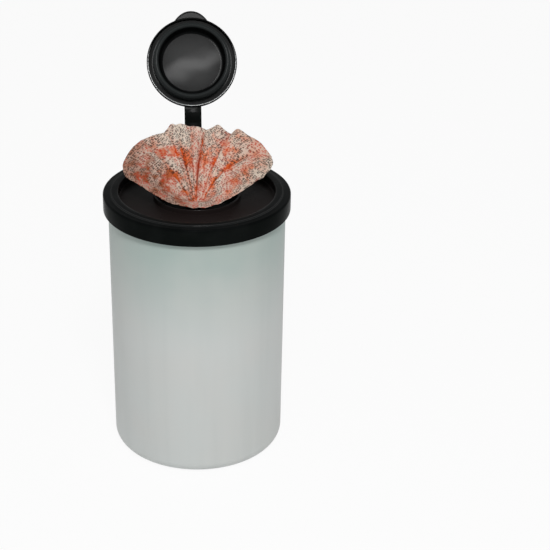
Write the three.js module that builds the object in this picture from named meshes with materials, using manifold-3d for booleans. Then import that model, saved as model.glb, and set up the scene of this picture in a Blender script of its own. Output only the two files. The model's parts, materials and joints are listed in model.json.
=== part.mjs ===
// A tub of wet wipes: a moulded tub with a press-on lid, a flip cap on a strap, a roll of wipes inside and
// the next wipe pulled up through the lid in a gathered fan. Millimetres, +Z up, origin at the centre of the base.
import * as THREE from "three";
import { mergeVertices } from "three/addons/utils/BufferGeometryUtils.js";
import Module from "manifold-3d";

const wasm = await Module();
wasm.setup();

const ROUND_STEPS = 40; // facets round the tub, lid and cap
const DEGREE = Math.PI / 180;

// Clearances
const seatGap = 0.4; // between faces that rest on each other
const slideGap = 0.3; // between walls that slide past each other

// Tub
const tubHeight = 206.6;
const tubRadius = 66.3; // outside, at the rim
const tubDraft = 0.8; // the radius lost between rim and base
const tubWall = 1.3;
const tubFloor = 1.6;
const tubCornerRadius = 9; // outside rounding between wall and base
const basePadRadius = 16; // the flat centre pad, level with the standing ring
const standingRingWidth = 9;
const baseRecess = 0.8; // between pad and standing ring
const beadProud = 1.4; // the snap bead round the neck
const beadTopBelowRim = 2.8;
const beadHeight = 3.6;
const rimRounding = 0.5;

// Lid
const skirtClearance = 0.6; // skirt to bead
const skirtWall = 1.7;
const skirtDepth = 10.5; // below the underside of the lid
const snapRibProud = 1.05; // undercut that snaps below the bead
const snapRibHeight = 2.7;
const bandThickness = 2.4; // the raised flat band inside the ledge
const ledgeDrop = 0.8; // from the band down to the ledge over the skirt
const ledgeWidth = 6;
const bandWidth = 5.4;
const lidEdgeRounding = 1.5;
const recessDepth = 6.2; // from the band down to the panel
const panelThickness = 1.6;
const sealRingWall = 1.2;
const sealRingDepth = 4;

// Collar, well and orifice of the lid
const collarRadius = 32.6; // outside
const collarWall = 1.6;
const collarHeight = 4; // above the panel
const wellDepth = 9.8; // from the top of the collar to the orifice plate
const wellCorner = 1.6;
const orificePlate = 1.4;
const orificeRadius = 7;
const slitCount = 8;
const slitWidth = 1;
const slitReach = 15; // from the axis to the round end of a slit

// Flip cap
const capLipWall = 1.6;
const capLipHeight = 2.4;
const capLipClearance = 0.6; // lip to collar
const capPlate = 1.8;
const capEdgeRounding = 0.9;
const plugClearance = 0.4; // plug to collar
const plugTipRadius = 2.1; // the round tip is a full round of this radius
const plugDraft = 0.5;
const plugFloorGap = 0.6; // plug tip to orifice plate, cap closed
const discRadius = 23.2; // the flat disc inside the plug
const tabReach = 6.5; // beyond the edge of the cap
const tabRadius = 14;
const tabRidge = 0.9;

// Strap and hinge
const hingeBeyondLid = 1.5; // from the lid's edge back to the hinge line
const hingeAboveLedge = 0.3;
const hingeBead = 0.9; // radius of the bead at the strap's root
const strapWidth = 13.2;
const strapThickness = 1.4;
const strapJoggleStart = 12.7; // from the cap's edge back to where the strap starts to ramp down
const strapJoggleEnd = 4.7; // and to where it ends, level with the cap's plate
const lugMargin = 1.7; // the lug is this much wider than the strap, each side
const lugHeight = 5.2;
const openAngle = 121; // from closed to the open rest pose, in degrees

// Roll of wipes
const rollSideGap = 3.4; // roll to tub wall, at the base
const rollTopGap = 4; // roll to the underside of the orifice plate
const rollCoreRadius = 15; // the hollow that wipes are pulled from
const rollEdgeRounding = 4;
const turnPitch = 7.6; // between the grooves that mark the turns
const turnGroove = 0.9;
const turnGrooveDepth = 3;
const turnSteps = 16; // facets in each turn

// Pulled wipe
const wipeThickness = 0.8;
const throatRadius = 5.6;
const tailLength = 26; // below the orifice plate
const tailTipRadius = 3.6;
const fanFrontRise = 6.4; // the fan's edge above the panel, at the front
const fanBackRise = 41; // and at the back
const fanRisePower = 1.3;
const fanRadius = 34; // the fan's edge from the axis, at the front
const fanLobe = 23; // added at the two side lobes
// Each lobe: its direction, and how far it spreads forwards and backwards, all in degrees from the X axis.
const fanLobes = [
  { at: 10, forward: 32, backward: 46 },
  { at: 170, forward: 36, backward: 44 },
];
// The sheet's own corners and dips along the edge: direction and spread in degrees, and rise.
const fanCorners = [
  { at: 114, spread: 6, rise: 5 },
  { at: 104, spread: 12, rise: 2.5 },
  { at: 44, spread: 7, rise: 2 },
  { at: 6, spread: 12, rise: 3 },
  { at: 140, spread: 12, rise: -1.5 },
];
const creases = [-60, -20, 13, 32, 50, 70, 90, 122, 146, 171, 206, 246]; // directions in degrees
const creasePull = 0.07; // share by which the edge is drawn in at a crease
const pleatDepth = 8.5;
const pleatLean = 1.3; // above 1, crests lean to alternate sides
const puff = 4; // the swell of the cloth halfway out, at the front
const pleatSteps = 7; // facets in each pleat
const fanRings = 7; // rings between throat and edge

// Sizes that follow
const lidUnderside = tubHeight + seatGap;
const bandTop = lidUnderside + bandThickness;
const ledgeTop = bandTop - ledgeDrop;
const skirtBottom = lidUnderside - skirtDepth;
const skirtInner = tubRadius + beadProud + skirtClearance;
const lidRadius = skirtInner + skirtWall;
const panelTop = bandTop - recessDepth;
const recessRadius = lidRadius - ledgeWidth - bandWidth;
const collarTop = panelTop + collarHeight;
const collarInner = collarRadius - collarWall;
const wellFloor = collarTop - wellDepth;
const capUnderside = collarTop + seatGap;
const capTop = capUnderside + capPlate;
const capLipInner = collarRadius + capLipClearance;
const capRadius = capLipInner + capLipWall;
const plugRadius = collarInner - plugClearance;
const plugTip = wellFloor + plugFloorGap;
const hingeY = lidRadius + hingeBeyondLid;
const hingeZ = ledgeTop + hingeAboveLedge;
const strapUnder = bandTop + seatGap - hingeZ; // above the hinge line, cap closed
const rollBottom = tubFloor + slideGap;
const rollTop = wellFloor - orificePlate - rollTopGap;
const rollRadius = tubRadius - tubDraft - tubWall - rollSideGap;

// Turns a closed geometry into a manifold solid.
function solid(geometry) {
  const bare = geometry.index ? geometry.toNonIndexed() : geometry.clone();
  for (const name of Object.keys(bare.attributes)) {
    if (name !== "position") bare.deleteAttribute(name);
  }
  const merged = mergeVertices(bare, 1e-4);
  const kept = [];
  const index = merged.index.array;
  for (let i = 0; i < index.length; i += 3) {
    const [a, b, c] = [index[i], index[i + 1], index[i + 2]];
    if (a !== b && b !== c && c !== a) kept.push(a, b, c);
  }
  return new wasm.Manifold(
    new wasm.Mesh({
      numProp: 3,
      vertProperties: new Float32Array(merged.attributes.position.array),
      triVerts: new Uint32Array(kept),
    }),
  );
}

// Turns a manifold solid back into a geometry.
function geometryOf(manifold) {
  const mesh = manifold.getMesh();
  const geometry = new THREE.BufferGeometry();
  geometry.setAttribute("position", new THREE.BufferAttribute(mesh.vertProperties, 3));
  geometry.setIndex(new THREE.BufferAttribute(mesh.triVerts, 1));
  geometry.computeVertexNormals();
  return geometry;
}

// A named mesh with its own material.
function piece(name, manifold, material) {
  const mesh = new THREE.Mesh(geometryOf(manifold), material);
  mesh.name = name;
  return mesh;
}

// Points of an arc in the profile plane, from one angle to another in degrees.
function arc(r, z, radius, from, to, steps = 4) {
  const points = [];
  for (let i = 0; i <= steps; i++) {
    const a = (from + ((to - from) * i) / steps) * DEGREE;
    points.push([r + radius * Math.cos(a), z + radius * Math.sin(a)]);
  }
  return points;
}

// Turns a profile of [radius, height] points, anticlockwise round the material, about the Z axis.
function revolve(profile) {
  const points = profile.map(([r, z]) => new THREE.Vector2(Math.max(r, 0), z));
  const onAxis = points[0].x === 0 && points[points.length - 1].x === 0;
  if (!onAxis) points.push(points[0].clone());
  return solid(new THREE.LatheGeometry(points, ROUND_STEPS).rotateX(Math.PI / 2));
}

// An outline in the XY plane, extruded up from a height.
function slab(shape, bottom, thickness, curveSegments = 12) {
  const options = { depth: thickness, bevelEnabled: false, curveSegments };
  return solid(new THREE.ExtrudeGeometry(shape, options).translate(0, 0, bottom));
}

// An outline of [y, z] points, extruded along X and centred on it.
function slice(points, width) {
  const shape = new THREE.Shape(points.map(([y, z]) => new THREE.Vector2(y, z)));
  const geometry = new THREE.ExtrudeGeometry(shape, { depth: width, bevelEnabled: false, curveSegments: 12 });
  // The outline's x, y and depth become the part's y, z and x.
  geometry.applyMatrix4(new THREE.Matrix4().set(0, 0, 1, -width / 2, 1, 0, 0, 0, 0, 1, 0, 0, 0, 0, 0, 1));
  return solid(geometry);
}

// The tub: one moulding with a drafted wall, a round corner, a base on a standing ring, and a snap bead at the neck.
function makeTub() {
  const baseRadius = tubRadius - tubDraft;
  const ringOuter = baseRadius - tubCornerRadius;
  const ringInner = ringOuter - standingRingWidth;
  const beadTop = tubHeight - beadTopBelowRim;
  const beadSlope = beadHeight / 3;
  const innerCorner = tubCornerRadius - tubWall;
  const innerRadius = tubRadius - tubWall;
  return revolve([
    [0, 0],
    [basePadRadius, 0],
    [basePadRadius + baseRecess, baseRecess],
    [ringInner - baseRecess, baseRecess],
    [ringInner, 0],
    ...arc(ringOuter, tubCornerRadius, tubCornerRadius, -90, 0, 8),
    [tubRadius, beadTop - beadHeight],
    [tubRadius + beadProud, beadTop - beadHeight + beadSlope],
    [tubRadius + beadProud, beadTop - beadSlope],
    [tubRadius, beadTop],
    ...arc(tubRadius - rimRounding, tubHeight - rimRounding, rimRounding, 0, 90, 2),
    ...arc(innerRadius + rimRounding, tubHeight - rimRounding, rimRounding, 90, 180, 2),
    ...arc(ringOuter, tubFloor + innerCorner, innerCorner, 0, -90, 6),
    [0, tubFloor],
  ]);
}

// The lid's round section, from the skirt over the ledge, band and recess to the collar, well and orifice.
function lidSection() {
  const ribTop = skirtBottom + snapRibHeight + 0.7;
  const ribSlope = snapRibHeight * 0.4;
  const bandOuter = lidRadius - ledgeWidth;
  const step = ledgeDrop / 2;
  const sealOuter = tubRadius - tubWall - slideGap;
  const sealInner = sealOuter - sealRingWall;
  const panelUnder = panelTop - panelThickness;
  const wellOuterCorner = wellCorner + orificePlate;
  const wellOuter = collarInner + panelThickness;
  const recessFoot = 1.2;
  const lip = 0.5;
  return revolve([
    [lidRadius - lip, skirtBottom],
    [lidRadius, skirtBottom + lip],
    ...arc(lidRadius - lidEdgeRounding, ledgeTop - lidEdgeRounding, lidEdgeRounding, 0, 90),
    [bandOuter, ledgeTop],
    ...arc(bandOuter - step, bandTop - step, step, 0, 90, 2),
    ...arc(recessRadius + step, bandTop - step, step, 90, 180, 2),
    ...arc(recessRadius - recessFoot, panelTop + recessFoot, recessFoot, 0, -90, 3),
    [collarRadius + step, panelTop],
    [collarRadius, panelTop + step],
    ...arc(collarRadius - step, collarTop - step, step, 0, 90, 3),
    ...arc(collarInner + step, collarTop - step, step, 90, 180, 3),
    ...arc(collarInner - wellCorner, wellFloor + wellCorner, wellCorner, 0, -90, 3),
    [orificeRadius, wellFloor],
    [orificeRadius, wellFloor - orificePlate],
    ...arc(wellOuter - wellOuterCorner, wellFloor - orificePlate + wellOuterCorner, wellOuterCorner, -90, 0, 3),
    [wellOuter, panelUnder],
    [recessRadius, panelUnder],
    [recessRadius + panelThickness, panelUnder + panelThickness],
    [recessRadius + panelThickness, lidUnderside],
    [sealInner, lidUnderside],
    [sealInner + lip / 2, lidUnderside - sealRingDepth],
    [sealOuter - lip, lidUnderside - sealRingDepth],
    [sealOuter, lidUnderside - sealRingDepth + lip],
    [sealOuter, lidUnderside],
    [skirtInner, lidUnderside],
    [skirtInner, ribTop],
    [skirtInner - snapRibProud, ribTop - ribSlope],
    [skirtInner - snapRibProud, ribTop - snapRibHeight + ribSlope],
    [skirtInner, ribTop - snapRibHeight],
    [skirtInner, skirtBottom],
  ]);
}

// The slits that cut the orifice plate into petals, each with a round end.
function orificeSlits() {
  const tall = orificePlate * 3;
  const middle = wellFloor - orificePlate / 2;
  let cuts = null;
  for (let i = 0; i < slitCount; i++) {
    const turn = (i * 2 * Math.PI) / slitCount;
    const bar = new THREE.BoxGeometry(slitReach, slitWidth, tall).translate(slitReach / 2, 0, middle);
    const end = new THREE.CylinderGeometry(slitWidth, slitWidth, tall, 12).rotateX(Math.PI / 2);
    end.translate(slitReach, 0, middle);
    const slit = solid(bar.rotateZ(turn)).add(solid(end.rotateZ(turn)));
    cuts = cuts ? cuts.add(slit) : slit;
  }
  return cuts;
}

// The lug behind the skirt that the strap's hinge film grows from.
function hingeLug() {
  const back = hingeY - hingeBead - slideGap;
  const top = hingeZ - hingeBead / 2;
  const root = lidRadius - skirtWall / 2 - lidEdgeRounding / 2;
  const width = strapWidth + 2 * lugMargin;
  return slice(
    [
      [root, top - lugHeight],
      [lidRadius, top - lugHeight],
      [back, top - lugHeight / 3],
      [back, top],
      [root, top],
    ],
    width,
  );
}

function makeLid() {
  return lidSection().subtract(orificeSlits()).add(hingeLug());
}

// The flip cap's round section, closed: plate, outer lip, and the round-tipped plug that enters the collar.
function capSection() {
  const tipOuter = plugRadius - plugDraft;
  const tipCentre = tipOuter - plugTipRadius;
  const tipInner = tipCentre - plugTipRadius;
  const discCorner = tipInner - discRadius;
  const lipEdge = capLipWall / 2;
  return revolve([
    [0, capUnderside],
    [discRadius, capUnderside],
    [discRadius + discCorner / 2, capUnderside - discCorner / 4],
    [tipInner - discCorner / 8, capUnderside - discCorner],
    ...arc(tipCentre, plugTip + plugTipRadius, plugTipRadius, 180, 360, 8),
    [plugRadius, capUnderside],
    [capLipInner, capUnderside],
    ...arc(capRadius - lipEdge, capUnderside - capLipHeight + lipEdge, lipEdge, 180, 360, 4),
    ...arc(capRadius - capEdgeRounding, capTop - capEdgeRounding, capEdgeRounding, 0, 90, 3),
    [0, capTop],
  ]);
}

// The thumb tab at the front of the cap, with a ridge under its edge to lift it by.
function thumbTab() {
  const centre = -(capRadius + tabReach - tabRadius);
  const disc = new THREE.Shape().absarc(0, centre, tabRadius, 0, 2 * Math.PI);
  const rim = new THREE.Shape().absarc(0, centre, tabRadius, 0, 2 * Math.PI);
  rim.holes.push(new THREE.Path().absarc(0, centre, tabRadius - capLipWall * 1.4, 0, 2 * Math.PI));
  const inside = new THREE.Shape().absarc(0, 0, capRadius - capLipWall / 2, 0, 2 * Math.PI);
  const tab = slab(disc, capUnderside, capPlate - capEdgeRounding / 2, 20);
  const ridge = slab(rim, capUnderside - tabRidge, tabRidge * 2, 20);
  return tab.add(ridge).subtract(slab(inside, capUnderside - capPlate, capPlate * 3, 36));
}

// The strap: a bead on the hinge line, a flat run over the band, and a ramp down to the cap's plate. Cap closed.
function strap() {
  const under = hingeZ + strapUnder;
  const top = under + strapThickness;
  const start = capRadius + strapJoggleStart;
  const end = capRadius + strapJoggleEnd;
  const meet = capRadius - capLipWall;
  const low = capTop - capEdgeRounding / 2;
  const run = slice(
    [
      [hingeY + hingeBead, hingeZ],
      [hingeY + hingeBead, under],
      [hingeY + hingeBead - strapThickness / 3, top],
      [start, top],
      [end, low],
      [meet, low],
      [meet, low - strapThickness],
      [end, low - strapThickness],
      [start, under],
      [hingeY - hingeBead, under],
      [hingeY - hingeBead, hingeZ],
    ],
    strapWidth,
  );
  const bead = new THREE.CylinderGeometry(hingeBead, hingeBead, strapWidth, 16).rotateZ(Math.PI / 2);
  return run.add(solid(bead.translate(0, hingeY, hingeZ)));
}

// The whole cap, moved so that the hinge line is its own origin.
function makeCap() {
  return capSection().add(thumbTab()).add(strap()).translate([0, -hingeY, -hingeZ]);
}

// One groove that winds outwards between turns, as an outline whose two sides follow the same spiral.
function turnOutline() {
  const turns = (rollRadius - rollEdgeRounding / 2 - rollCoreRadius) / turnPitch;
  const steps = Math.floor(turns * turnSteps);
  const side = (offset) =>
    Array.from({ length: steps + 1 }, (_, i) => {
      const a = (i * 2 * Math.PI) / turnSteps;
      const r = rollCoreRadius + 1.5 + (turnPitch * i) / turnSteps + offset + 0.5 * Math.sin(2 * a + 1);
      return new THREE.Vector2(r * Math.cos(a), r * Math.sin(a));
    });
  return new THREE.Shape([...side(-turnGroove / 2), ...side(turnGroove / 2).reverse()]);
}

// The roll of wipes: a hollow core, soft edges, and a spiral groove in each end where the turns show.
function makeRoll() {
  const edge = rollEdgeRounding;
  const coreEdge = edge / 2;
  const body = revolve([
    ...arc(rollCoreRadius + coreEdge, rollBottom + coreEdge, coreEdge, 180, 270, 2),
    ...arc(rollRadius - edge, rollBottom + edge, edge, -90, 0, 4),
    ...arc(rollRadius - edge, rollTop - edge, edge, 0, 90, 4),
    ...arc(rollCoreRadius + coreEdge, rollTop - coreEdge, coreEdge, 90, 180, 2),
  ]);
  const outline = turnOutline();
  const topGroove = slab(outline, rollTop - turnGrooveDepth, turnGrooveDepth * 2);
  const bottomGroove = slab(outline, rollBottom - turnGrooveDepth, turnGrooveDepth * 2);
  return body.subtract(topGroove).subtract(bottomGroove);
}

// The share of the way from the front of the fan, 0, to the back, 1.
const backness = (angle) => (1 + Math.sin(angle)) / 2;

// A smooth hump round a direction, 1 at its middle; the direction and spread are in degrees.
function hump(angle, at, spread) {
  const turn = angle - at * DEGREE;
  const away = Math.atan2(Math.sin(turn), Math.cos(turn)) / DEGREE;
  return Math.exp(-((away / spread) ** 2));
}

// How far round a pleat an angle lies: 0 in a crease, 1 on the crest between two creases.
function pleat(angle) {
  const degrees = angle / DEGREE;
  for (let i = 0; i < creases.length; i++) {
    const width = (creases[(i + 1) % creases.length] - creases[i] + 360) % 360;
    const from = (((degrees - creases[i]) % 360) + 360) % 360;
    const lean = i % 2 ? pleatLean : 1 / pleatLean;
    if (from < width) return Math.max(0, Math.sin(Math.PI * (from / width) ** lean)) ** 0.7;
  }
  return 0;
}

// How far the fan's edge stands from the axis, widest at the two side lobes and drawn in at the creases.
function fanEdgeRadius(angle) {
  let reach = fanRadius;
  for (const { at, forward, backward } of fanLobes) {
    const inFront = Math.sin(angle) < Math.sin(at * DEGREE);
    reach += fanLobe * hump(angle, at, inFront ? forward : backward);
  }
  return reach * (1 - creasePull * (1 - pleat(angle)));
}

// How high the fan's edge stands, lowest at the front.
function fanEdgeHeight(angle) {
  let rise = fanFrontRise + (fanBackRise - fanFrontRise) * backness(angle) ** fanRisePower;
  for (const { at, spread, rise: more } of fanCorners) rise += more * hump(angle, at, spread);
  return panelTop + rise;
}

// A point on the middle of the fan's sheet: share 0 at the throat, 1 at the free edge.
function fanPoint(share, angle) {
  const back = backness(angle);
  const reach = fanEdgeRadius(angle);
  const rise = fanEdgeHeight(angle) - wellFloor;
  const swell = puff * Math.sin(Math.PI * share) * (1 - back);
  const depth = pleatDepth * share ** 1.3 * (0.35 + 0.65 * back) * (pleat(angle) - 0.55);
  const lean = Math.atan2(rise, reach);
  const r = throatRadius + (reach - throatRadius) * share ** 1.2 - depth * Math.sin(lean);
  const z = wellFloor + rise * (1 - (1 - share) ** (2.2 - back)) + swell + depth * Math.cos(lean);
  return new THREE.Vector3(r * Math.cos(angle), r * Math.sin(angle), z);
}

// The fan's sheet moved off its middle by a distance along its own normal.
function fanOffset(share, angle, distance) {
  const step = 0.01;
  const near = Math.min(share, 1 - step);
  const along = fanPoint(near + step, angle).sub(fanPoint(near, angle));
  const round = fanPoint(share, angle + step).sub(fanPoint(share, angle - step));
  const normal = along.cross(round).normalize();
  return fanPoint(share, angle).addScaledVector(normal, distance);
}

// Joins rings of points into one closed surface, with a point at each end.
function loft(rings, first, last) {
  const count = rings[0].length;
  const points = [first, ...rings.flat(), last];
  const index = [];
  const at = (ring, i) => 1 + ring * count + (i % count);
  for (let i = 0; i < count; i++) {
    index.push(0, at(0, i + 1), at(0, i));
    for (let ring = 0; ring + 1 < rings.length; ring++) {
      index.push(at(ring, i), at(ring, i + 1), at(ring + 1, i + 1));
      index.push(at(ring, i), at(ring + 1, i + 1), at(ring + 1, i));
    }
    index.push(at(rings.length - 1, i), at(rings.length - 1, i + 1), points.length - 1);
  }
  const geometry = new THREE.BufferGeometry().setFromPoints(points);
  geometry.setIndex(index);
  return solid(geometry);
}

// The wipe that is pulled up: a gathered tail through the orifice that opens into a pleated fan.
function makeWipe() {
  const angles = creases.flatMap((start, i) => {
    const width = (creases[(i + 1) % creases.length] - start + 360) % 360;
    return Array.from({ length: pleatSteps }, (_, j) => (start + (width * j) / pleatSteps) * DEGREE);
  });
  const tailBottom = wellFloor - orificePlate - tailLength;
  const tailRing = (share) =>
    angles.map((a) => {
      const gather = 1 + 0.1 * share * Math.cos(8 * a);
      const r = (tailTipRadius + (throatRadius - tailTipRadius) * share) * gather;
      return new THREE.Vector3(r * Math.cos(a), r * Math.sin(a), tailBottom + (wellFloor - tailBottom) * share);
    });
  const half = wipeThickness / 2;
  const shares = Array.from({ length: fanRings }, (_, i) => (i + 1) / fanRings);
  const under = shares.map((s) => angles.map((a) => fanOffset(s, a, -half)));
  const over = shares.map((s) => angles.map((a) => fanOffset(s, a, half))).reverse();
  const rings = [tailRing(0), tailRing(0.5), tailRing(0.97), ...under, ...over];
  const bottom = new THREE.Vector3(0, 0, tailBottom);
  const middle = new THREE.Vector3(0, 0, wellFloor + 2 * wipeThickness);
  return loft(rings, bottom, middle);
}

const tubPlastic = new THREE.MeshStandardMaterial({ color: 0xd3d9d6, roughness: 0.45, metalness: 0 });
const lidPlastic = new THREE.MeshStandardMaterial({ color: 0x131414, roughness: 0.38, metalness: 0 });
const capPlastic = new THREE.MeshStandardMaterial({ color: 0x151616, roughness: 0.35, metalness: 0 });
const rollCloth = new THREE.MeshStandardMaterial({ color: 0xe4c6bd, roughness: 0.95, metalness: 0 });
const wipeCloth = new THREE.MeshStandardMaterial({ color: 0xe9b49c, roughness: 0.95, metalness: 0 });

const packet = new THREE.Group();
packet.add(piece("tub", makeTub(), tubPlastic));
packet.add(piece("lid", makeLid(), lidPlastic));
packet.add(piece("wipe_roll", makeRoll(), rollCloth));
packet.add(piece("pulled_wipe", makeWipe(), wipeCloth));

const hinge = new THREE.Group();
hinge.position.set(0, hingeY, hingeZ);
hinge.rotation.x = -openAngle * DEGREE;
hinge.add(piece("flip_cap", makeCap(), capPlastic));
packet.add(hinge);

export default packet;
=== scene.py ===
import json
import math

import bmesh
import bpy
from mathutils import Matrix, Vector, noise


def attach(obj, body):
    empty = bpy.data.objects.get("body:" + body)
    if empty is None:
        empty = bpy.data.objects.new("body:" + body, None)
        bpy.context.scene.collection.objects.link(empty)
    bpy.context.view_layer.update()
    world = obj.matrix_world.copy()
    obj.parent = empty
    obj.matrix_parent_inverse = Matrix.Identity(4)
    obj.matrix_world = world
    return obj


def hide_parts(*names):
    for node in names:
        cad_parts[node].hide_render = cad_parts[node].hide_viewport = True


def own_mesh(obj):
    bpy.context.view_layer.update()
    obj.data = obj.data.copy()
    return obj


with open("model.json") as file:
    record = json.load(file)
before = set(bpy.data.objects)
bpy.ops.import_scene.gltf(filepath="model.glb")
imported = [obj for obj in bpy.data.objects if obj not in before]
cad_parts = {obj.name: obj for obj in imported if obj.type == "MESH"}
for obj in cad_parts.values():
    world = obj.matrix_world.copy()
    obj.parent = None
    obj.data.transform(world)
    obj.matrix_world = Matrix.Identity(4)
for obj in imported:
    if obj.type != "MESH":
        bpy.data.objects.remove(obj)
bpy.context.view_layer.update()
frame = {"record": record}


# Camera. It looks down on the tub from the front, a little to the left of the tub's middle.
camera_place = Vector((-0.0360, -1.1212, 0.7056))
camera_yaw = 0.08488
camera_pitch = 0.46819
camera_roll = 0.01778
ahead = Vector(
    (
        math.sin(camera_yaw) * math.cos(camera_pitch),
        math.cos(camera_yaw) * math.cos(camera_pitch),
        -math.sin(camera_pitch),
    )
)
level = ahead.cross(Vector((0, 0, 1))).normalized()
aside = Matrix.Rotation(-camera_roll, 3, ahead) @ level
camera_lens_mm = 107.54
camera_data = bpy.data.cameras.new("camera")
camera_data.lens = camera_lens_mm
camera_data.sensor_width = 36
camera = bpy.data.objects.new("camera", camera_data)
bpy.context.scene.collection.objects.link(camera)
axes = Matrix((aside, aside.cross(ahead), -ahead)).transposed()
camera.matrix_world = Matrix.Translation(camera_place) @ axes.to_4x4()
bpy.context.scene.camera = camera


# Tub. One moulding of white polypropylene, slightly see-through and satin. It has a drafted wall, a round
# corner at its foot, a snap bead at the neck, and a base that stands on a ring and a pad.
tub_height = 0.2066
tub_radius = 0.0663
tub_draft = 0.0008
tub_wall = 0.0013
tub_floor = 0.0016
tub_corner = 0.009
base_pad = 0.016
pad_round = 0.0004
base_ring = 0.009
base_recess = 0.0008
bead_proud = 0.0014
bead_top = tub_height - 0.0028
bead_height = 0.0036


def arc(r, z, radius, start, end, steps=8):
    """Points of an arc in a profile, between two angles in degrees."""
    turns = [math.radians(start + (end - start) * i / steps) for i in range(steps + 1)]
    return [(r + radius * math.cos(a), z + radius * math.sin(a)) for a in turns]


def new_mesh_object(name, bm, smooth_angle=32):
    """Makes an object at the origin from a bmesh, smooth but for its sharp edges."""
    mesh = bpy.data.meshes.new(name)
    bm.to_mesh(mesh)
    bm.free()
    for polygon in mesh.polygons:
        polygon.use_smooth = True
    mesh.set_sharp_from_angle(angle=math.radians(smooth_angle))
    made = bpy.data.objects.new(name, mesh)
    bpy.context.scene.collection.objects.link(made)
    return made


def turned(profile, steps=160):
    """A bmesh of a profile of (radius, height) points turned about the upright axis."""
    bm = bmesh.new()
    verts = [bm.verts.new((max(r, 0), 0, z)) for r, z in profile]
    edges = [bm.edges.new(pair) for pair in zip(verts, verts[1:])]
    if profile[0][0] > 0 or profile[-1][0] > 0:
        edges.append(bm.edges.new((verts[-1], verts[0])))
    bmesh.ops.spin(
        bm,
        geom=verts + edges,
        angle=math.tau,
        steps=steps,
        axis=(0, 0, 1),
        cent=(0, 0, 0),
        use_merge=True,
    )
    bmesh.ops.remove_doubles(bm, verts=bm.verts, dist=1e-6)
    bmesh.ops.recalc_face_normals(bm, faces=bm.faces)
    return bm


class Wire:
    """A shader socket that holds a number, so that sums on it add Math nodes."""

    def __init__(self, finish, socket):
        self.finish = finish
        self.socket = socket

    def sum(self, operation, first, second):
        return self.finish.add("ShaderNodeMath", {"operation": operation}, {0: first, 1: second})

    def __add__(self, other):
        return self.sum("ADD", self, other)

    __radd__ = __add__

    def __mul__(self, other):
        return self.sum("MULTIPLY", self, other)

    __rmul__ = __mul__

    def __sub__(self, other):
        return self.sum("SUBTRACT", self, other)

    def __rsub__(self, other):
        return self.sum("SUBTRACT", other, self)


class Finish:
    """The nodes of a material or a world. add() makes any node and gives one of its outputs as a Wire."""

    def __init__(self, owner):
        self.owner = owner
        self.owner.use_nodes = True
        self.tree = self.owner.node_tree
        self.tree.nodes.clear()
        self.place = self.add("ShaderNodeTexCoord", output="Object")

    def add(self, kind, settings=None, sockets=None, output=0):
        node = self.tree.nodes.new(kind)
        for name, value in (settings or {}).items():
            setattr(node, name, value)
        for name, value in (sockets or {}).items():
            if isinstance(value, Wire):
                self.tree.links.new(value.socket, node.inputs[name])
            else:
                node.inputs[name].default_value = value
        return Wire(self, node.outputs[output]) if node.outputs else node

    def noise(self, scale, detail=3, vector=None, roughness=0.5):
        sockets = {"Vector": vector or self.place, "Scale": scale}
        sockets.update({"Detail": detail, "Roughness": roughness})
        return self.add("ShaderNodeTexNoise", {}, sockets)

    def band(self, value, low, high, to_low=0.0, to_high=1.0):
        """Spreads the values between low and high smoothly from to_low to to_high."""
        sockets = {"Value": value, "From Min": low, "From Max": high}
        sockets.update({"To Min": to_low, "To Max": to_high})
        return self.add("ShaderNodeMapRange", {"interpolation_type": "SMOOTHSTEP"}, sockets)

    def mix(self, share, first, second):
        """Mixes two colours. Sockets 6 and 7 of a Mix node take its colours, and output 2 gives the mix."""
        sockets = {"Factor": share, 6: first, 7: second}
        return self.add("ShaderNodeMix", {"data_type": "RGBA"}, sockets, output=2)

    def parts(self, vector=None):
        """The coordinates of a vector, by default of the place on the object."""
        split = self.add("ShaderNodeSeparateXYZ", {}, {"Vector": vector or self.place})
        return [Wire(self, socket) for socket in split.socket.node.outputs]

    def from_axis(self, place):
        """How far a place lies from the upright axis."""
        flat = self.add("ShaderNodeVectorMath", {"operation": "MULTIPLY"}, {0: place, 1: (1, 1, 0)})
        return self.add("ShaderNodeVectorMath", {"operation": "LENGTH"}, {0: flat}, output="Value")

    def between(self, value, low, high, soft):
        """1 from low to high, and down to 0 over a soft margin on either side."""
        return self.band(value, low - soft, low) * (1 - self.band(value, high, high + soft))

    def bump(self, height, distance, strength=1.0):
        return self.add("ShaderNodeBump", {}, {"Height": height, "Distance": distance, "Strength": strength})

    def principled(self, sockets):
        """Ends the material with a Principled shader, with these sockets set or wired."""
        shader = self.add("ShaderNodeBsdfPrincipled", {}, sockets)
        self.add("ShaderNodeOutputMaterial", {}, {"Surface": shader})
        return self.owner


def rgb(red, green, blue):
    """A colour as a screen shows it, 0 to 255, in the renderer's own light units."""
    parts = [c / 255 for c in (red, green, blue)]
    return tuple(c / 12.92 if c < 0.04045 else ((c + 0.055) / 1.055) ** 2.4 for c in parts) + (1,)


ring_outer = tub_radius - tub_draft - tub_corner
ring_inner = ring_outer - base_ring
bead_slope = bead_height / 3
inner_corner = tub_corner - tub_wall
rim_round = 0.0005
tub_bm = turned(
    [
        (0, 0),
        (base_pad - pad_round, 0),
        *arc(base_pad - pad_round, pad_round, pad_round, -90, -30, 3),
        (base_pad + base_recess, base_recess),
        (ring_inner - base_recess, base_recess),
        (ring_inner, 0),
        *arc(ring_outer, tub_corner, tub_corner, -90, 0, 16),
        (tub_radius, bead_top - bead_height),
        (tub_radius + bead_proud, bead_top - bead_height + bead_slope),
        (tub_radius + bead_proud, bead_top - bead_slope),
        (tub_radius, bead_top),
        *arc(tub_radius - rim_round, tub_height - rim_round, rim_round, 0, 90, 4),
        *arc(tub_radius - tub_wall + rim_round, tub_height - rim_round, rim_round, 90, 180, 4),
        *arc(ring_outer, tub_floor + inner_corner, inner_corner, 0, -90, 12),
        (0, tub_floor),
    ]
)
tub = new_mesh_object("tub_moulding", tub_bm)


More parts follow.
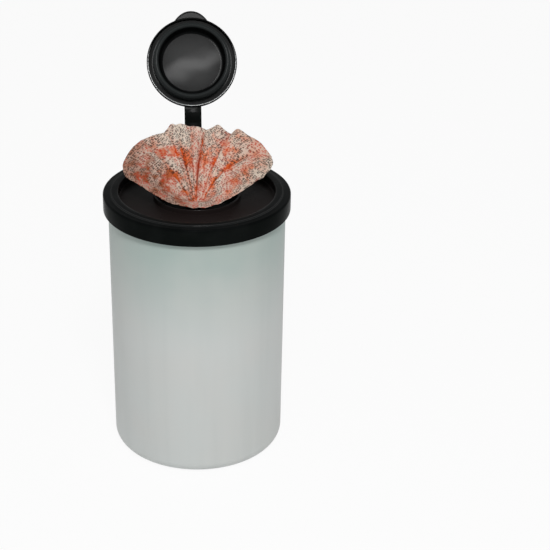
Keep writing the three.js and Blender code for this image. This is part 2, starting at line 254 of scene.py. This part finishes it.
def tub_finish():
    """Milky plastic with faint upright streaks, darker and cooler towards the top, where painted shade stands
    for the lid's overhang.
    """
    f = Finish(bpy.data.materials.new("tub_milky_plastic"))
    z = f.parts()[2]
    across = f.add("ShaderNodeMapping", {}, {"Vector": f.place, "Scale": (70, 70, 5)})
    streaks = f.noise(1.0, 2, across)
    clouds = f.noise(22, 2)
    # Painted shade: the top of the tub is darker and cooler, as under the lid's overhang.
    lid_shade = f.band(z, 0.10, 0.21)
    colour = f.mix(lid_shade, rgb(214, 218, 216), rgb(172, 190, 184))
    colour = f.mix(f.band(clouds, 0.35, 0.7) * 0.25, colour, rgb(218, 216, 212))
    colour = f.mix(f.band(streaks, 0.4, 0.7) * 0.1, colour, rgb(180, 188, 186))
    fine = f.noise(900, 2)
    return f.principled(
        {
            "Base Color": colour,
            "Roughness": f.band(clouds, 0.3, 0.7, to_low=0.44, to_high=0.52),
            "Specular IOR Level": 0.3,
            "Normal": f.bump(fine + streaks * 4, 0.00002, 0.5),
        }
    )


tub.data.materials.append(tub_finish())
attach(tub, "tub_body")
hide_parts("tub")


# Roll of wipes. A long strip of damp nonwoven cloth, wound up and pulled from its hollow middle, so that the
# turns show in its ends as loose, uneven layers. It stands in the tub on its end.
roll_radius = 0.0608
roll_core = 0.015
roll_bottom = 0.0019
roll_top = 0.192
roll_edge = 0.004
core_round = 0.002
turn_pitch = 0.0026
turn_depth = 0.0022
end_step = 0.0007


def radial(start, end, z):
    """Points of a profile along a flat end, from one radius to another and close enough for its turns."""
    count = round(abs(end - start) / end_step)
    return [(start + (end - start) * i / count, z) for i in range(1, count)]


roll_bm = turned(
    [
        *arc(roll_core + core_round, roll_bottom + core_round, core_round, 180, 270, 4),
        *radial(roll_core + core_round, roll_radius - roll_edge, roll_bottom),
        *arc(roll_radius - roll_edge, roll_bottom + roll_edge, roll_edge, -90, 0, 7),
        (roll_radius, 0.05),
        (roll_radius, 0.1),
        (roll_radius, 0.15),
        *arc(roll_radius - roll_edge, roll_top - roll_edge, roll_edge, 0, 90, 7),
        *radial(roll_radius - roll_edge, roll_core + core_round, roll_top),
        *arc(roll_core + core_round, roll_top - core_round, core_round, 90, 180, 4),
    ],
    180,
)


def turn_share(place):
    """Where a place lies between two turns: 0 on a turn's edge, up to 1 in the gap to the next."""
    angle = math.atan2(place.y, place.x)
    swell = 0.0006 * math.sin(2 * angle + 1) + 0.0004 * math.sin(3 * angle + 0.4)
    drift = 0.0012 * noise.noise(place * 60)
    turns = (math.hypot(place.x, place.y) + swell + drift) / turn_pitch - angle / math.tau
    return (1 - math.cos(math.tau * turns)) / 2


for vert in roll_bm.verts:
    from_end = min(vert.co.z - roll_bottom, roll_top - vert.co.z)
    if from_end < roll_edge * 0.6:
        inwards = 1 if vert.co.z < roll_top / 2 else -1
        uneven = 0.35 + 0.65 * abs(noise.noise(vert.co * 45 + Vector((3, 1, 0))))
        vert.co.z += inwards * turn_depth * turn_share(vert.co) ** 2 * uneven
roll = new_mesh_object("roll_of_wipes", roll_bm, 80)


def roll_finish():
    """Damp nonwoven cloth, pale with pink patches, with a small worn print of rings and dots."""
    f = Finish(bpy.data.materials.new("roll_printed_cloth"))
    print_cell = 0.0026
    warp = f.noise(160, 2)
    nudge = {"Factor": 0.0012, 4: f.place, 5: warp}
    nudged = f.add("ShaderNodeMix", {"data_type": "VECTOR"}, nudge, output=1)
    cells = {"Vector": nudged, "Scale": 1 / print_cell}
    near = f.add("ShaderNodeTexVoronoi", {}, cells, output="Distance")
    ring = f.band(near, 0.24, 0.36) * (1 - f.band(near, 0.44, 0.58))
    dot = 1 - f.band(near, 0.06, 0.16)
    worn = f.band(f.noise(700, 3), 0.38, 0.62)
    stain = f.band(f.noise(70, 4, roughness=0.65), 0.44, 0.66) * 0.75
    colour = f.mix(stain, rgb(226, 208, 202), rgb(226, 188, 180))
    colour = f.mix((ring * 0.75 + dot * 0.55) * worn, colour, rgb(205, 92, 92))
    fibres = f.noise(1500, 4, roughness=0.7)
    surface = fibres * 0.6 + ring * 0.5 + f.noise(260, 3) * 0.8
    return f.principled(
        {
            "Base Color": colour,
            "Roughness": 0.92,
            "Specular IOR Level": 0.2,
            "Normal": f.bump(surface, 0.0003),
        }
    )


roll.data.materials.append(roll_finish())
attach(roll, "tub_body")
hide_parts("wipe_roll")


# Lid. One black polypropylene moulding that snaps over the tub's bead. Its panel is sunk inside a flat band,
# and a collar stands in the middle, with a well and a petalled orifice that grips the next wipe.
lid_underside = 0.2070
lid_radius = 0.0700
skirt_wall = 0.0017
skirt_bottom = lid_underside - 0.0116
band_top = 0.2094
ledge_top = 0.2086
ledge_width = 0.006
recess_radius = 0.0586
panel_top = 0.2032
panel_thick = 0.0016
collar_radius = 0.0326
collar_inner = 0.0310
collar_top = 0.2072
well_floor = 0.1974
well_corner = 0.0016
orifice_plate = 0.0014
orifice_radius = 0.007
slit_reach = 0.015
slit_width = 0.001
slits = 8

seal_outer = tub_radius - tub_wall - 0.0003
skirt_inner = lid_radius - skirt_wall
rib_top = lid_underside - 0.0071
rib_proud = 0.00105
rib_slope = 0.0011
rib_flat = 0.0005
band_outer = lid_radius - ledge_width
ledge_round = 0.0015
bend_round = 0.0004
recess_round = 0.0012
skirt_round = 0.0005
petals_end = slit_reach + 0.003
cup_round = 0.003
seal_deep = 0.004
seal_thick = 0.0012
panel_under = panel_top - panel_thick
well_outer = collar_inner + panel_thick
lid_bm = turned(
    [
        *arc(lid_radius - skirt_round, skirt_bottom + skirt_round, skirt_round, -90, 0, 3),
        (lid_radius, ledge_top - ledge_round),
        *arc(lid_radius - ledge_round, ledge_top - ledge_round, ledge_round, 0, 90, 8)[1:],
        (band_outer + bend_round, ledge_top),
        (band_outer, ledge_top + bend_round / 2),
        *arc(band_outer - bend_round, band_top - bend_round, bend_round, 0, 90, 4),
        *arc(recess_radius + bend_round, band_top - bend_round, bend_round, 90, 180, 4),
        *arc(recess_radius - recess_round, panel_top + recess_round, recess_round, 0, -90, 6),
        *arc(collar_radius + bend_round, panel_top + bend_round, bend_round, -90, -180, 4),
        *arc(collar_radius - bend_round, collar_top - bend_round, bend_round, 0, 90, 4),
        *arc(collar_inner + bend_round, collar_top - bend_round, bend_round, 90, 180, 4),
        *arc(collar_inner - well_corner, well_floor + well_corner, well_corner, 0, -90, 6),
        (petals_end, well_floor),
        (orifice_radius, well_floor),
        (orifice_radius, well_floor - orifice_plate),
        (petals_end, well_floor - orifice_plate),
        *arc(well_outer - cup_round, well_floor - orifice_plate + cup_round, cup_round, -90, 0, 5),
        (well_outer, panel_under),
        (recess_radius, panel_under),
        (recess_radius + panel_thick, panel_under + panel_thick),
        (recess_radius + panel_thick, lid_underside),
        (seal_outer - seal_thick, lid_underside),
        (seal_outer - seal_thick + 0.0002, lid_underside - seal_deep),
        (seal_outer - 0.0005, lid_underside - seal_deep),
        (seal_outer, lid_underside - seal_deep + 0.0005),
        (seal_outer, lid_underside),
        (skirt_inner, lid_underside),
        (skirt_inner, rib_top),
        (skirt_inner - rib_proud, rib_top - rib_slope),
        (skirt_inner - rib_proud, rib_top - rib_slope - rib_flat),
        (skirt_inner, rib_top - rib_slope * 2 - rib_flat),
        (skirt_inner, skirt_bottom),
    ]
)
lid = new_mesh_object("lid_moulding", lid_bm)


def join_with(target, cutter, operation):
    """Joins a piece to another, or cuts it away, and leaves one mesh."""
    change = target.modifiers.new(operation, "BOOLEAN")
    change.operation = operation
    change.solver = "EXACT"
    change.object = cutter
    bpy.context.view_layer.update()
    evaluated = target.evaluated_get(bpy.context.evaluated_depsgraph_get())
    mesh = bpy.data.meshes.new_from_object(evaluated)
    target.modifiers.clear()
    target.data = mesh
    bpy.data.objects.remove(cutter)


slit_bm = bmesh.new()
for i in range(slits):
    turn = Matrix.Rotation(math.tau * i / slits, 4, "Z")
    middle = Vector((slit_reach / 2, 0, well_floor - orifice_plate / 2))
    size = Matrix.Diagonal((slit_reach, slit_width, orifice_plate * 3, 1))
    bmesh.ops.create_cube(slit_bm, size=1, matrix=turn @ Matrix.Translation(middle) @ size)
join_with(lid, new_mesh_object("slits_cut", slit_bm), "DIFFERENCE")

cap_joint = next(j for j in frame["record"]["behaviour"]["joints"] if j["name"] == "cap_hinge")
hinge = Vector(cap_joint["pos_m"])
open_turn = math.radians(cap_joint["range_deg"][1])
strap_width = 0.0132
hinge_bead = 0.0009
lug_height = 0.0052
lug_chin = 0.0017


def slice_of(name, points, width, bevel=0.0):
    """A piece with an outline of (y, z) points, drawn out along the side-to-side axis."""
    bm = bmesh.new()
    verts = [bm.verts.new((-width / 2, y, z)) for y, z in points]
    face = bm.faces.new(verts)
    grown = bmesh.ops.extrude_face_region(bm, geom=[face])["geom"]
    moved = [v for v in grown if isinstance(v, bmesh.types.BMVert)]
    bmesh.ops.translate(bm, verts=moved, vec=(width, 0, 0))
    bmesh.ops.recalc_face_normals(bm, faces=bm.faces)
    if bevel:
        bmesh.ops.bevel(
            bm,
            geom=bm.edges[:],
            offset=bevel,
            segments=2,
            affect="EDGES",
            profile=0.5,
            material=-1,
        )
    return new_mesh_object(name, bm)


lug_top = hinge.z - hinge_bead / 2
lug_back = hinge.y - hinge_bead - 0.0003
lug_root = lid_radius - skirt_wall / 2 - ledge_round / 2
lug = slice_of(
    "lug",
    [
        (lug_root, lug_top - lug_height),
        (lid_radius, lug_top - lug_height),
        (lug_back, lug_top - lug_chin),
        (lug_back, lug_top),
        (lug_root, lug_top),
    ],
    strap_width + 0.0034,
)
join_with(lid, lug, "UNION")


def black_finish(name, look):
    """Black moulded plastic, finely grained and faintly rubbed. look gives its colour and its gloss."""
    f = Finish(bpy.data.materials.new(name))
    rubs = f.noise(30, 4)
    clouds = f.noise(55, 3)
    colour, gloss = look(f)
    grain = f.noise(2600, 2)
    return f.principled(
        {
            "Base Color": f.mix(f.band(clouds, 0.35, 0.7) * 0.06, colour, rgb(60, 62, 62)),
            "Roughness": f.band(rubs, 0.3, 0.7, to_low=0.24, to_high=0.36),
            "Specular IOR Level": 0.008,
            "Coat Weight": gloss,
            "Coat Roughness": 0.2,
            "Coat IOR": 2.0,
            "Normal": f.bump(grain + clouds * 3, 0.00002, 0.4),
        }
    )


def lid_look(f):
    """The band and ledge on top are darker than the skirt, painted shade against the light from above. The
    sunk panel is paler and redder towards the front, a painted reflection of the wipe, and there the edges
    that stand out shine.
    """
    _, y, z = f.parts()
    reach = f.from_axis(f.place)
    # Painted shade: the band and ledge on top are darker than the skirt, to hold back the light that falls on
    # them from above.
    colour = f.mix(f.band(z, ledge_top - 0.003, ledge_top), rgb(15, 18, 17), rgb(9, 11, 11))
    front = f.band(y, 0.02, -0.05)
    # Painted reflection: the front of the sunk panel is paler and redder, as where it mirrors the wipe.
    panel = f.mix(front, rgb(17, 15, 14), rgb(36, 29, 28))
    colour = f.mix(f.between(reach, collar_radius, recess_radius, 0.0006), colour, panel)
    soft = 0.0002
    edges = (
        f.between(reach, collar_radius - 0.0009, collar_radius, soft) * f.band(z, panel_top, collar_top)
        + f.between(reach, band_outer - 0.0006, band_outer + 0.0006, soft)
        + f.between(reach, recess_radius - 0.0002, recess_radius + 0.0008, soft)
    )
    return colour, edges * front * 0.14


lid.data.materials.clear()
lid.data.materials.append(black_finish("lid_black_plastic", lid_look))
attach(lid, "lid_body")
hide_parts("lid")


# Flip cap. One black moulding: a plate with a lip, a round-tipped plug ring that seals inside the collar, a
# thumb tab at its front, and a flat strap with a film at its end that hinges on the lid's lug. It is made
# closed and then swung open to its place in the photo.
cap_lip_inner = collar_radius + 0.0010
cap_radius = cap_lip_inner + 0.0018
lip_round = 0.0008
cap_under = collar_top + 0.0004
cap_top = cap_under + 0.0018
cap_edge = 0.0009
cap_lip = 0.0024
plug_radius = collar_inner - 0.0004
plug_tip = well_floor + 0.0006
plug_round = 0.0021
plug_draft = 0.0005
disc_radius = 0.0232

tip_outer = plug_radius - plug_draft
tip_centre = tip_outer - plug_round
tip_inner = tip_centre - plug_round
corner = tip_inner - disc_radius
cap_bm = turned(
    [
        (0, cap_under),
        (disc_radius - 0.0004, cap_under),
        (disc_radius, cap_under - 0.00006),
        (disc_radius + corner / 2, cap_under - corner / 4),
        (tip_inner - corner / 8, cap_under - corner),
        *arc(tip_centre, plug_tip + plug_round, plug_round, 180, 360, 16),
        (plug_radius, cap_under),
        (cap_lip_inner, cap_under),
        *arc(cap_radius - lip_round, cap_under - cap_lip + lip_round, lip_round, 180, 360, 12),
        *arc(cap_radius - cap_edge, cap_top - cap_edge, cap_edge, 0, 90, 8),
        (0, cap_top),
    ]
)
cap = new_mesh_object("flip_cap_moulding", cap_bm)

tab_reach = 0.0058
tab_spread = math.radians(23)
tab_root = cap_radius - 0.0014
tab_tip = cap_radius - 0.0003 + tab_reach
tab_top = cap_top - 0.0005
tab_ridge = 0.0010
ridge_foot = cap_under - 0.0009
ridge_round = 0.0003
tip_round = 0.0007
tab_bm = bmesh.new()
tab_outline = [
    (tab_root, cap_under),
    (tab_tip - tab_ridge, cap_under),
    (tab_tip - tab_ridge, ridge_foot),
    *arc(tab_tip - ridge_round, ridge_foot + ridge_round, ridge_round, -90, 0, 3),
    *arc(tab_tip - tip_round, tab_top - tip_round, tip_round, 0, 90, 5),
    (tab_root, tab_top),
]
tab_bm.faces.new([tab_bm.verts.new((0, -r, z)) for r, z in tab_outline])
bmesh.ops.rotate(tab_bm, verts=tab_bm.verts, matrix=Matrix.Rotation(-tab_spread, 3, "Z"))
bmesh.ops.spin(
    tab_bm,
    geom=tab_bm.verts[:] + tab_bm.edges[:] + tab_bm.faces[:],
    angle=tab_spread * 2,
    steps=32,
    axis=(0, 0, 1),
    cent=(0, 0, 0),
)
for vert in tab_bm.verts:
    reach = math.hypot(vert.co.x, vert.co.y)
    if reach > tab_root + 0.0001:
        aside_share = min(1, abs(math.atan2(vert.co.x, -vert.co.y)) / tab_spread)
        drawn_in = tab_reach * (1 - (1 - aside_share**2) ** 1.2)
        vert.co.xy *= (reach - drawn_in) / reach
bmesh.ops.recalc_face_normals(tab_bm, faces=tab_bm.faces)
join_with(cap, new_mesh_object("tab", tab_bm), "UNION")

strap_thick = 0.0014
strap_bevel = 0.0002
strap_under = band_top + 0.0004
strap_low = cap_top - cap_edge / 2
strap_meet = cap_radius - 0.0016
ramp_high = hinge.y - 0.024
ramp_low = hinge.y - 0.032
strap = slice_of(
    "strap",
    [
        (hinge.y + hinge_bead, hinge.z),
        (hinge.y + hinge_bead, strap_under),
        (hinge.y + hinge_bead - strap_thick / 3, strap_under + strap_thick),
        (ramp_high, strap_under + strap_thick),
        (ramp_low, strap_low),
        (strap_meet, strap_low),
        (strap_meet, strap_low - strap_thick),
        (ramp_low, strap_low - strap_thick),
        (ramp_high, strap_under),
        (hinge.y - hinge_bead, strap_under),
        (hinge.y - hinge_bead, hinge.z),
    ],
    strap_width,
    strap_bevel,
)
join_with(cap, strap, "UNION")
film_bm = bmesh.new()
bmesh.ops.create_cone(
    film_bm,
    cap_ends=True,
    segments=24,
    radius1=hinge_bead,
    radius2=hinge_bead,
    depth=strap_width - 0.0001,
)
bmesh.ops.rotate(film_bm, verts=film_bm.verts, matrix=Matrix.Rotation(math.pi / 2, 3, "Y"))
bmesh.ops.translate(film_bm, verts=film_bm.verts, vec=hinge)
join_with(cap, new_mesh_object("film", film_bm), "UNION")

swing = Matrix.Translation(hinge) @ Matrix.Rotation(-open_turn, 4, "X") @ Matrix.Translation(-hinge)
cap.data.transform(swing)


def cap_look(f):
    """On its underside the plug's tip is paler, a painted highlight on its round, the lip has a bright line,
    a painted highlight along its round edge on the half towards the strap, and the disc has a cloudy sheen of
    gloss.

    The pattern is laid out on the closed cap, so a place on the open cap is first swung back."""
    unswung = swing.inverted()
    swung_back = {"Vector": f.place, "Location": unswung.translation, "Rotation": unswung.to_euler()}
    closed = f.add("ShaderNodeMapping", {}, swung_back)
    x, y, z = f.parts(closed)
    reach = f.from_axis(closed)
    under = f.band(z, cap_under + 0.0010, cap_under + 0.0003)
    disc = 1 - f.band(reach, disc_radius - 0.0002, disc_radius + 0.0004)
    plug_tip_ring = f.between(reach, tip_inner + plug_round / 2, plug_radius, plug_round / 2)
    lip_tip = f.between(reach, cap_radius - 0.0013, cap_radius - 0.0009, 0.0002)
    tab_side = f.band(reach, cap_radius + 0.0002, cap_radius + 0.0008)
    by_strap = f.band(y, -0.016, 0.006)
    strap_side = f.band(y, cap_radius - 0.001, cap_radius + 0.001)
    clouds = f.noise(34, 1, closed)
    colour = f.mix(strap_side, rgb(8, 9, 9), rgb(15, 17, 16))
    # Painted highlight: the plug's round tip is paler, as where soft light catches it.
    colour = f.mix(plug_tip_ring * under, colour, rgb(40, 43, 43))
    # Painted highlight: a near-white line on the lip's round tip, on the half towards the strap.
    colour = f.mix(lip_tip * by_strap * under * 0.6, colour, rgb(176, 180, 180))
    sheen = f.between(y + x * 0.45 + clouds * 0.03 - 0.015, 0.0, 0.003, 0.011)
    disc_edge = f.between(reach, disc_radius - 0.0003, disc_radius + 0.0004, 0.0002)
    right = f.band(x, 0.010, 0.020)
    plug_sides = plug_tip_ring * f.band(x * x, 0.022**2, 0.028**2)
    gloss = disc * (sheen * 0.026 + 0.013) + lip_tip * by_strap * 0.8 + plug_sides * 0.03
    gloss = gloss + disc_edge * right * 0.3 + tab_side * 0.021
    return colour, gloss * under + 0.004


cap.data.materials.clear()
cap.data.materials.append(black_finish("cap_black_plastic", cap_look))
for joined in (lid, cap):
    for polygon in joined.data.polygons:
        polygon.use_smooth = True
    joined.data.set_sharp_from_angle(angle=math.radians(32))
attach(cap, "cap_body")
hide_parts("flip_cap")


# Pulled wipe. The next sheet of damp printed nonwoven, drawn up through the petals by its middle. They gather
# it, and above them it opens into a fan of uneven folds that stands at the back and lies over the collar.
throat = 0.0056
tail_length = 0.026
tail_tip = 0.0036
tail_share = 0.18
fan_front = 0.0062
fan_back = 0.041
fan_power = 1.3
fan_radius = 0.034
# Lobes: direction in degrees, how far each stands out, and its spread forwards and backwards in degrees.
fan_lobes = [(7, 0.0238, 26, 46), (175, 0.022, 31, 45)]
# The sheet's corners: direction in degrees, rise, spread in degrees.
fan_corners = [
    (119, 0.0040, 4),
    (110, 0.0046, 9),
    (92, 0.0008, 9),
    (63, 0.0040, 6),
    (44, 0.0050, 7),
    (28, 0.0042, 12),
    (4, 0.0022, 10),
    (146, 0.0034, 18),
]
# Folds: direction at the throat and at the edge, depth halfway and at the edge, and width in degrees.
fan_folds = [
    (-20, -16, 0.5, 0.1, 9),
    (10, 2, 0.5, 0.15, 7),
    (38, 19, 1.4, 0.3, 4.5),
    (49, 38, 0.4, 0.05, 5),
    (56, 52, 0.9, 0.85, 4.5),
    (72, 66, 0.5, 0.1, 5),
    (91, 77, 1.4, 0.5, 4.5),
    (101, 95, 0.8, 0.15, 4),
    (116, 112, 1.2, 0.1, 4.5),
    (126, 123, 0.7, 0.6, 4),
    (148, 146, 1.2, 0.05, 5),
    (166, 166, 0.5, 0.05, 7),
    (190, 188, 0.8, 0.05, 8),
    (214, 215, 0.5, 0, 9),
    (245, 245, 0.3, 0, 9),
    (300, 300, 0.3, 0, 10),
    (325, 322, 0.4, 0, 9),
]
fold_depth = 0.0082
crest_level = 0.35
# The share of a full turn that the fan's print covers when it is laid flat.
flat_turn = 0.72
drawn_height = 0.0013
fine_height = 0.0006
crumple_height = 0.0007
fibre_height = 0.0002
cloth_thick = 0.0004
round_steps = 480
length_steps = 64


def away(angle, degrees):
    """The signed angle in degrees from a direction that is given in degrees."""
    turn = angle - math.radians(degrees)
    return math.degrees(math.atan2(math.sin(turn), math.cos(turn)))


def fold_at(share, angle):
    """How deep in a fold a place lies: 0 on a broad crest, about 1 at the bottom of a fold."""
    return sum(
        (mid + (rim - mid) * share**2)
        * math.exp(-abs(away(angle, start + (end - start) * share)) / width)
        for start, end, mid, rim, width in fan_folds
    )


def fan_point(share, angle):
    """A place on the wipe: share 0 in the throat, 1 at the free edge, at an angle round the orifice."""
    back = (1 + math.sin(angle)) / 2
    reach = fan_radius
    for at, lobe, forward, backward in fan_lobes:
        spread = forward if math.sin(angle) < math.sin(math.radians(at)) else backward
        reach += lobe * math.exp(-(abs(away(angle, at) / spread) ** 1.9))
    top = panel_top + fan_front + (fan_back - fan_front) * back**fan_power
    for at, rise, spread in fan_corners:
        top += rise * math.exp(-((away(angle, at) / spread) ** 2))
    r = throat + (reach - throat) * share**1.2
    z = well_floor + (top - well_floor) * (1 - (1 - share) ** (2.2 - back))
    depth = fold_depth * share**0.9 * (0.25 + 0.75 * back) * (crest_level - fold_at(share, angle))
    lean = math.atan2(top - well_floor, reach)
    r -= depth * math.sin(lean)
    return Vector((r * math.cos(angle), r * math.sin(angle), z + depth * math.cos(lean)))


# noise_vector takes its offsets from this seed, and otherwise from the clock.
noise.seed_set(5)
wipe_bm = bmesh.new()
bmesh.ops.create_grid(wipe_bm, x_segments=round_steps, y_segments=length_steps, size=0.5)
cloth_map = wipe_bm.loops.layers.uv.new("cloth")
# The fold map holds how deep each place lies in a fold, for the painted shade in the folds.
fold_map = wipe_bm.loops.layers.uv.new("fold")
flat_place = {}
fold_place = {}
for vert in wipe_bm.verts:
    round_share = vert.co.x + 0.5
    angle = round_share * math.tau - math.pi / 2
    along = vert.co.y + 0.5
    if along < tail_share:
        up = along / tail_share
        gather = 1 + 0.12 * up * math.cos(8 * angle) + 0.1 * math.cos(5 * angle + 6 * up)
        r = (tail_tip + (throat - tail_tip) * up) * gather * 0.93
        place = Vector((r * math.cos(angle), r * math.sin(angle), well_floor - tail_length * (1 - up)))
        run = throat - tail_length * (1 - up)
        fold_place[vert] = (0.5, 0)
    else:
        share = (along - tail_share) / (1 - tail_share)
        place = fan_point(share, angle)
        upright = 0.4 + 0.6 * (1 + math.sin(angle)) / 2
        drawn = noise.noise(Vector((math.cos(angle) * 6, math.sin(angle) * 6, share * 1.5)))
        fine = noise.noise(Vector((math.cos(angle) * 15, math.sin(angle) * 15, share * 2.5)))
        crumple = noise.noise_vector(place * 110) * crumple_height
        crumple += noise.noise_vector(place * 260) * fibre_height
        heights = drawn * drawn_height + fine * fine_height
        lift = Vector((-math.cos(angle), -math.sin(angle), 1.2)) * heights
        place += (crumple + lift) * min(1, share * 1.6) * upright
        leaves = Vector((throat * math.cos(angle), throat * math.sin(angle), well_floor))
        run = throat + (place - leaves).length
        fold_place[vert] = (min(1, fold_at(share, angle) / 1.4), share)
    flat_angle = round_share * math.tau * flat_turn
    flat_place[vert] = (run * math.cos(flat_angle), run * math.sin(flat_angle))
    vert.co = place
for face in wipe_bm.faces:
    for loop in face.loops:
        loop[cloth_map].uv = flat_place[loop.vert]
        loop[fold_map].uv = fold_place[loop.vert]
bmesh.ops.remove_doubles(wipe_bm, verts=wipe_bm.verts, dist=1e-5)
bmesh.ops.recalc_face_normals(wipe_bm, faces=wipe_bm.faces)
wipe = new_mesh_object("pulled_wipe_sheet", wipe_bm, 80)
thicken = wipe.modifiers.new("thickness", "SOLIDIFY")
thicken.thickness = cloth_thick
thicken.offset = 0


def wipe_finish():
    """Off-white cloth, orange by patches, with a small print of grey or orange rings. The orange in its
    folds, the dark brown at their bottoms, the brown towards the front left and the grey towards the right
    are painted shade.
    """
    f = Finish(bpy.data.materials.new("wipe_printed_cloth"))
    flat = f.add("ShaderNodeUVMap", {"uv_map": "cloth"})
    fold, out, _ = f.parts(f.add("ShaderNodeUVMap", {"uv_map": "fold"}))
    x, y, _ = f.parts()
    # Painted shade: the front left of the fan is browner and darker, with fewer pale spots where it is
    # deepest.
    front_left = x + y * 0.9
    front_left_shade = f.band(front_left, 0.012, -0.03)
    front_left_deepest_shade = f.band(front_left, -0.024, -0.038)
    shaded = f.band(x, 0.018, 0.032)
    print_cell = 0.0014
    print_cells = {"Vector": flat, "Scale": 1 / print_cell, "Randomness": 0.5}
    near = f.add("ShaderNodeTexVoronoi", {}, print_cells, output="Distance")
    ring = f.between(near, 0.20, 0.38, 0.10)
    worn = f.band(f.noise(900, 3, flat), 0.32, 0.46)
    stain = f.band(f.noise(75, 4, flat, 0.65), 0.44, 0.62) * (1 - f.band(out, 0.6, 1.0) * 0.6)
    back_right = f.band(x, 0.02, 0.05) * f.band(y, 0.004, 0.02)
    pale = f.band(f.noise(52, 2, flat), 0.52, 0.60) * (1 - front_left_deepest_shade) * (1 - back_right * 0.7)
    # Painted shade: the folds turn orange, as shade and light bounced inside them do.
    tint = (0.12 + back_right * 0.15 + stain * 0.8) * (1 - pale * 0.7) + f.band(fold, 0.25, 0.75) * 0.7
    dark = f.band(f.noise(60, 4, flat, 0.6) + out * 0.04, 0.44, 0.56)
    colour = f.mix(tint, rgb(233, 221, 206), rgb(232, 108, 50))
    # Painted shade: the bottoms of the deepest folds turn dark brown.
    colour = f.mix(f.band(fold, 0.62, 1.0) * 0.9, colour, rgb(112, 38, 20))
    # Painted shade: brown mixed in towards the front left, more over the stains.
    colour = f.mix(front_left_shade * (stain * 0.5 + 0.35) + front_left_deepest_shade * 0.22, colour, rgb(128, 64, 30))
    colour = f.mix(shaded * 0.16, colour, rgb(140, 120, 92))
    ink = f.mix(dark, rgb(204, 58, 26), rgb(66, 50, 42))
    colour = f.mix(ring * (worn * 0.4 + 0.55), colour, ink)
    fibres = f.noise(1500, 4, flat, 0.7)
    surface = fibres * 0.6 + ring * 0.4 + f.noise(260, 3, flat) * 0.8
    return f.principled(
        {
            "Base Color": colour,
            "Roughness": 0.9,
            "Specular IOR Level": 0.2,
            "Normal": f.bump(surface, 0.0003),
        }
    )


wipe.data.materials.append(wipe_finish())
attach(wipe, "lid_body")
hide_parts("pulled_wipe")
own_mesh(wipe)


# Stage. A pale floor that keeps the shadow, a white background, and two soft lamps. The floor and background
# are white to the camera and in reflections, and the background is dimmer as a light on the tub.
def lamp(name, place, aim, size, power):
    """A rectangular lamp that faces the place it is aimed at."""
    data = bpy.data.lights.new(name, "AREA")
    data.shape = "RECTANGLE"
    data.size = size[0]
    data.size_y = size[1]
    data.energy = power
    made = bpy.data.objects.new(name, data)
    made.location = place
    made.rotation_euler = (Vector(aim) - Vector(place)).to_track_quat("-Z", "Y").to_euler()
    bpy.context.scene.collection.objects.link(made)


lamp("front_lamp", (0.05, -1.0, 1.28), (0, 0.11, 0.25), (0.34, 0.30), 10.4)
lamp("side_lamp", (-1.3, -0.7, 0.7), (0, 0, 0.14), (0.5, 0.9), 0.3)

floor_bm = bmesh.new()
bmesh.ops.create_grid(floor_bm, x_segments=1, y_segments=1, size=6)
floor = new_mesh_object("floor", floor_bm)


def sight(finish):
    """1 for what the camera sees, straight or in a reflection or a clear piece, and 0 for the light given."""
    rays = ("Is Camera Ray", "Is Glossy Ray", "Is Transmission Ray")
    return sum(finish.add("ShaderNodeLightPath", output=ray) for ray in rays)


floor_white = 0.92
floor_finish = Finish(bpy.data.materials.new("floor_pale"))
floor_look = floor_finish.add("ShaderNodeBsdfDiffuse", {}, {"Color": (0.9, 0.9, 0.9, 1)})
floor_glow = floor_finish.add("ShaderNodeEmission", {}, {"Color": (1, 1, 1, 1), "Strength": 1.0})
floor_mix = {0: sight(floor_finish) * floor_white, 1: floor_look, 2: floor_glow}
floor_surface = floor_finish.add("ShaderNodeMixShader", {}, floor_mix)
floor_finish.add("ShaderNodeOutputMaterial", {}, {"Surface": floor_surface})
floor.data.materials.append(floor_finish.owner)

sky_as_lamp = 0.38
sky_as_seen = 1.0
sky = Finish(bpy.data.worlds.new("studio"))
sky_strength = sight(sky) * (sky_as_seen - sky_as_lamp) + sky_as_lamp
background = sky.add("ShaderNodeBackground", {}, {"Color": (1, 1, 1, 1), "Strength": sky_strength})
sky.add("ShaderNodeOutputWorld", {}, {"Surface": background})
bpy.context.scene.world = sky.owner

bpy.context.scene.view_settings.view_transform = "Standard"
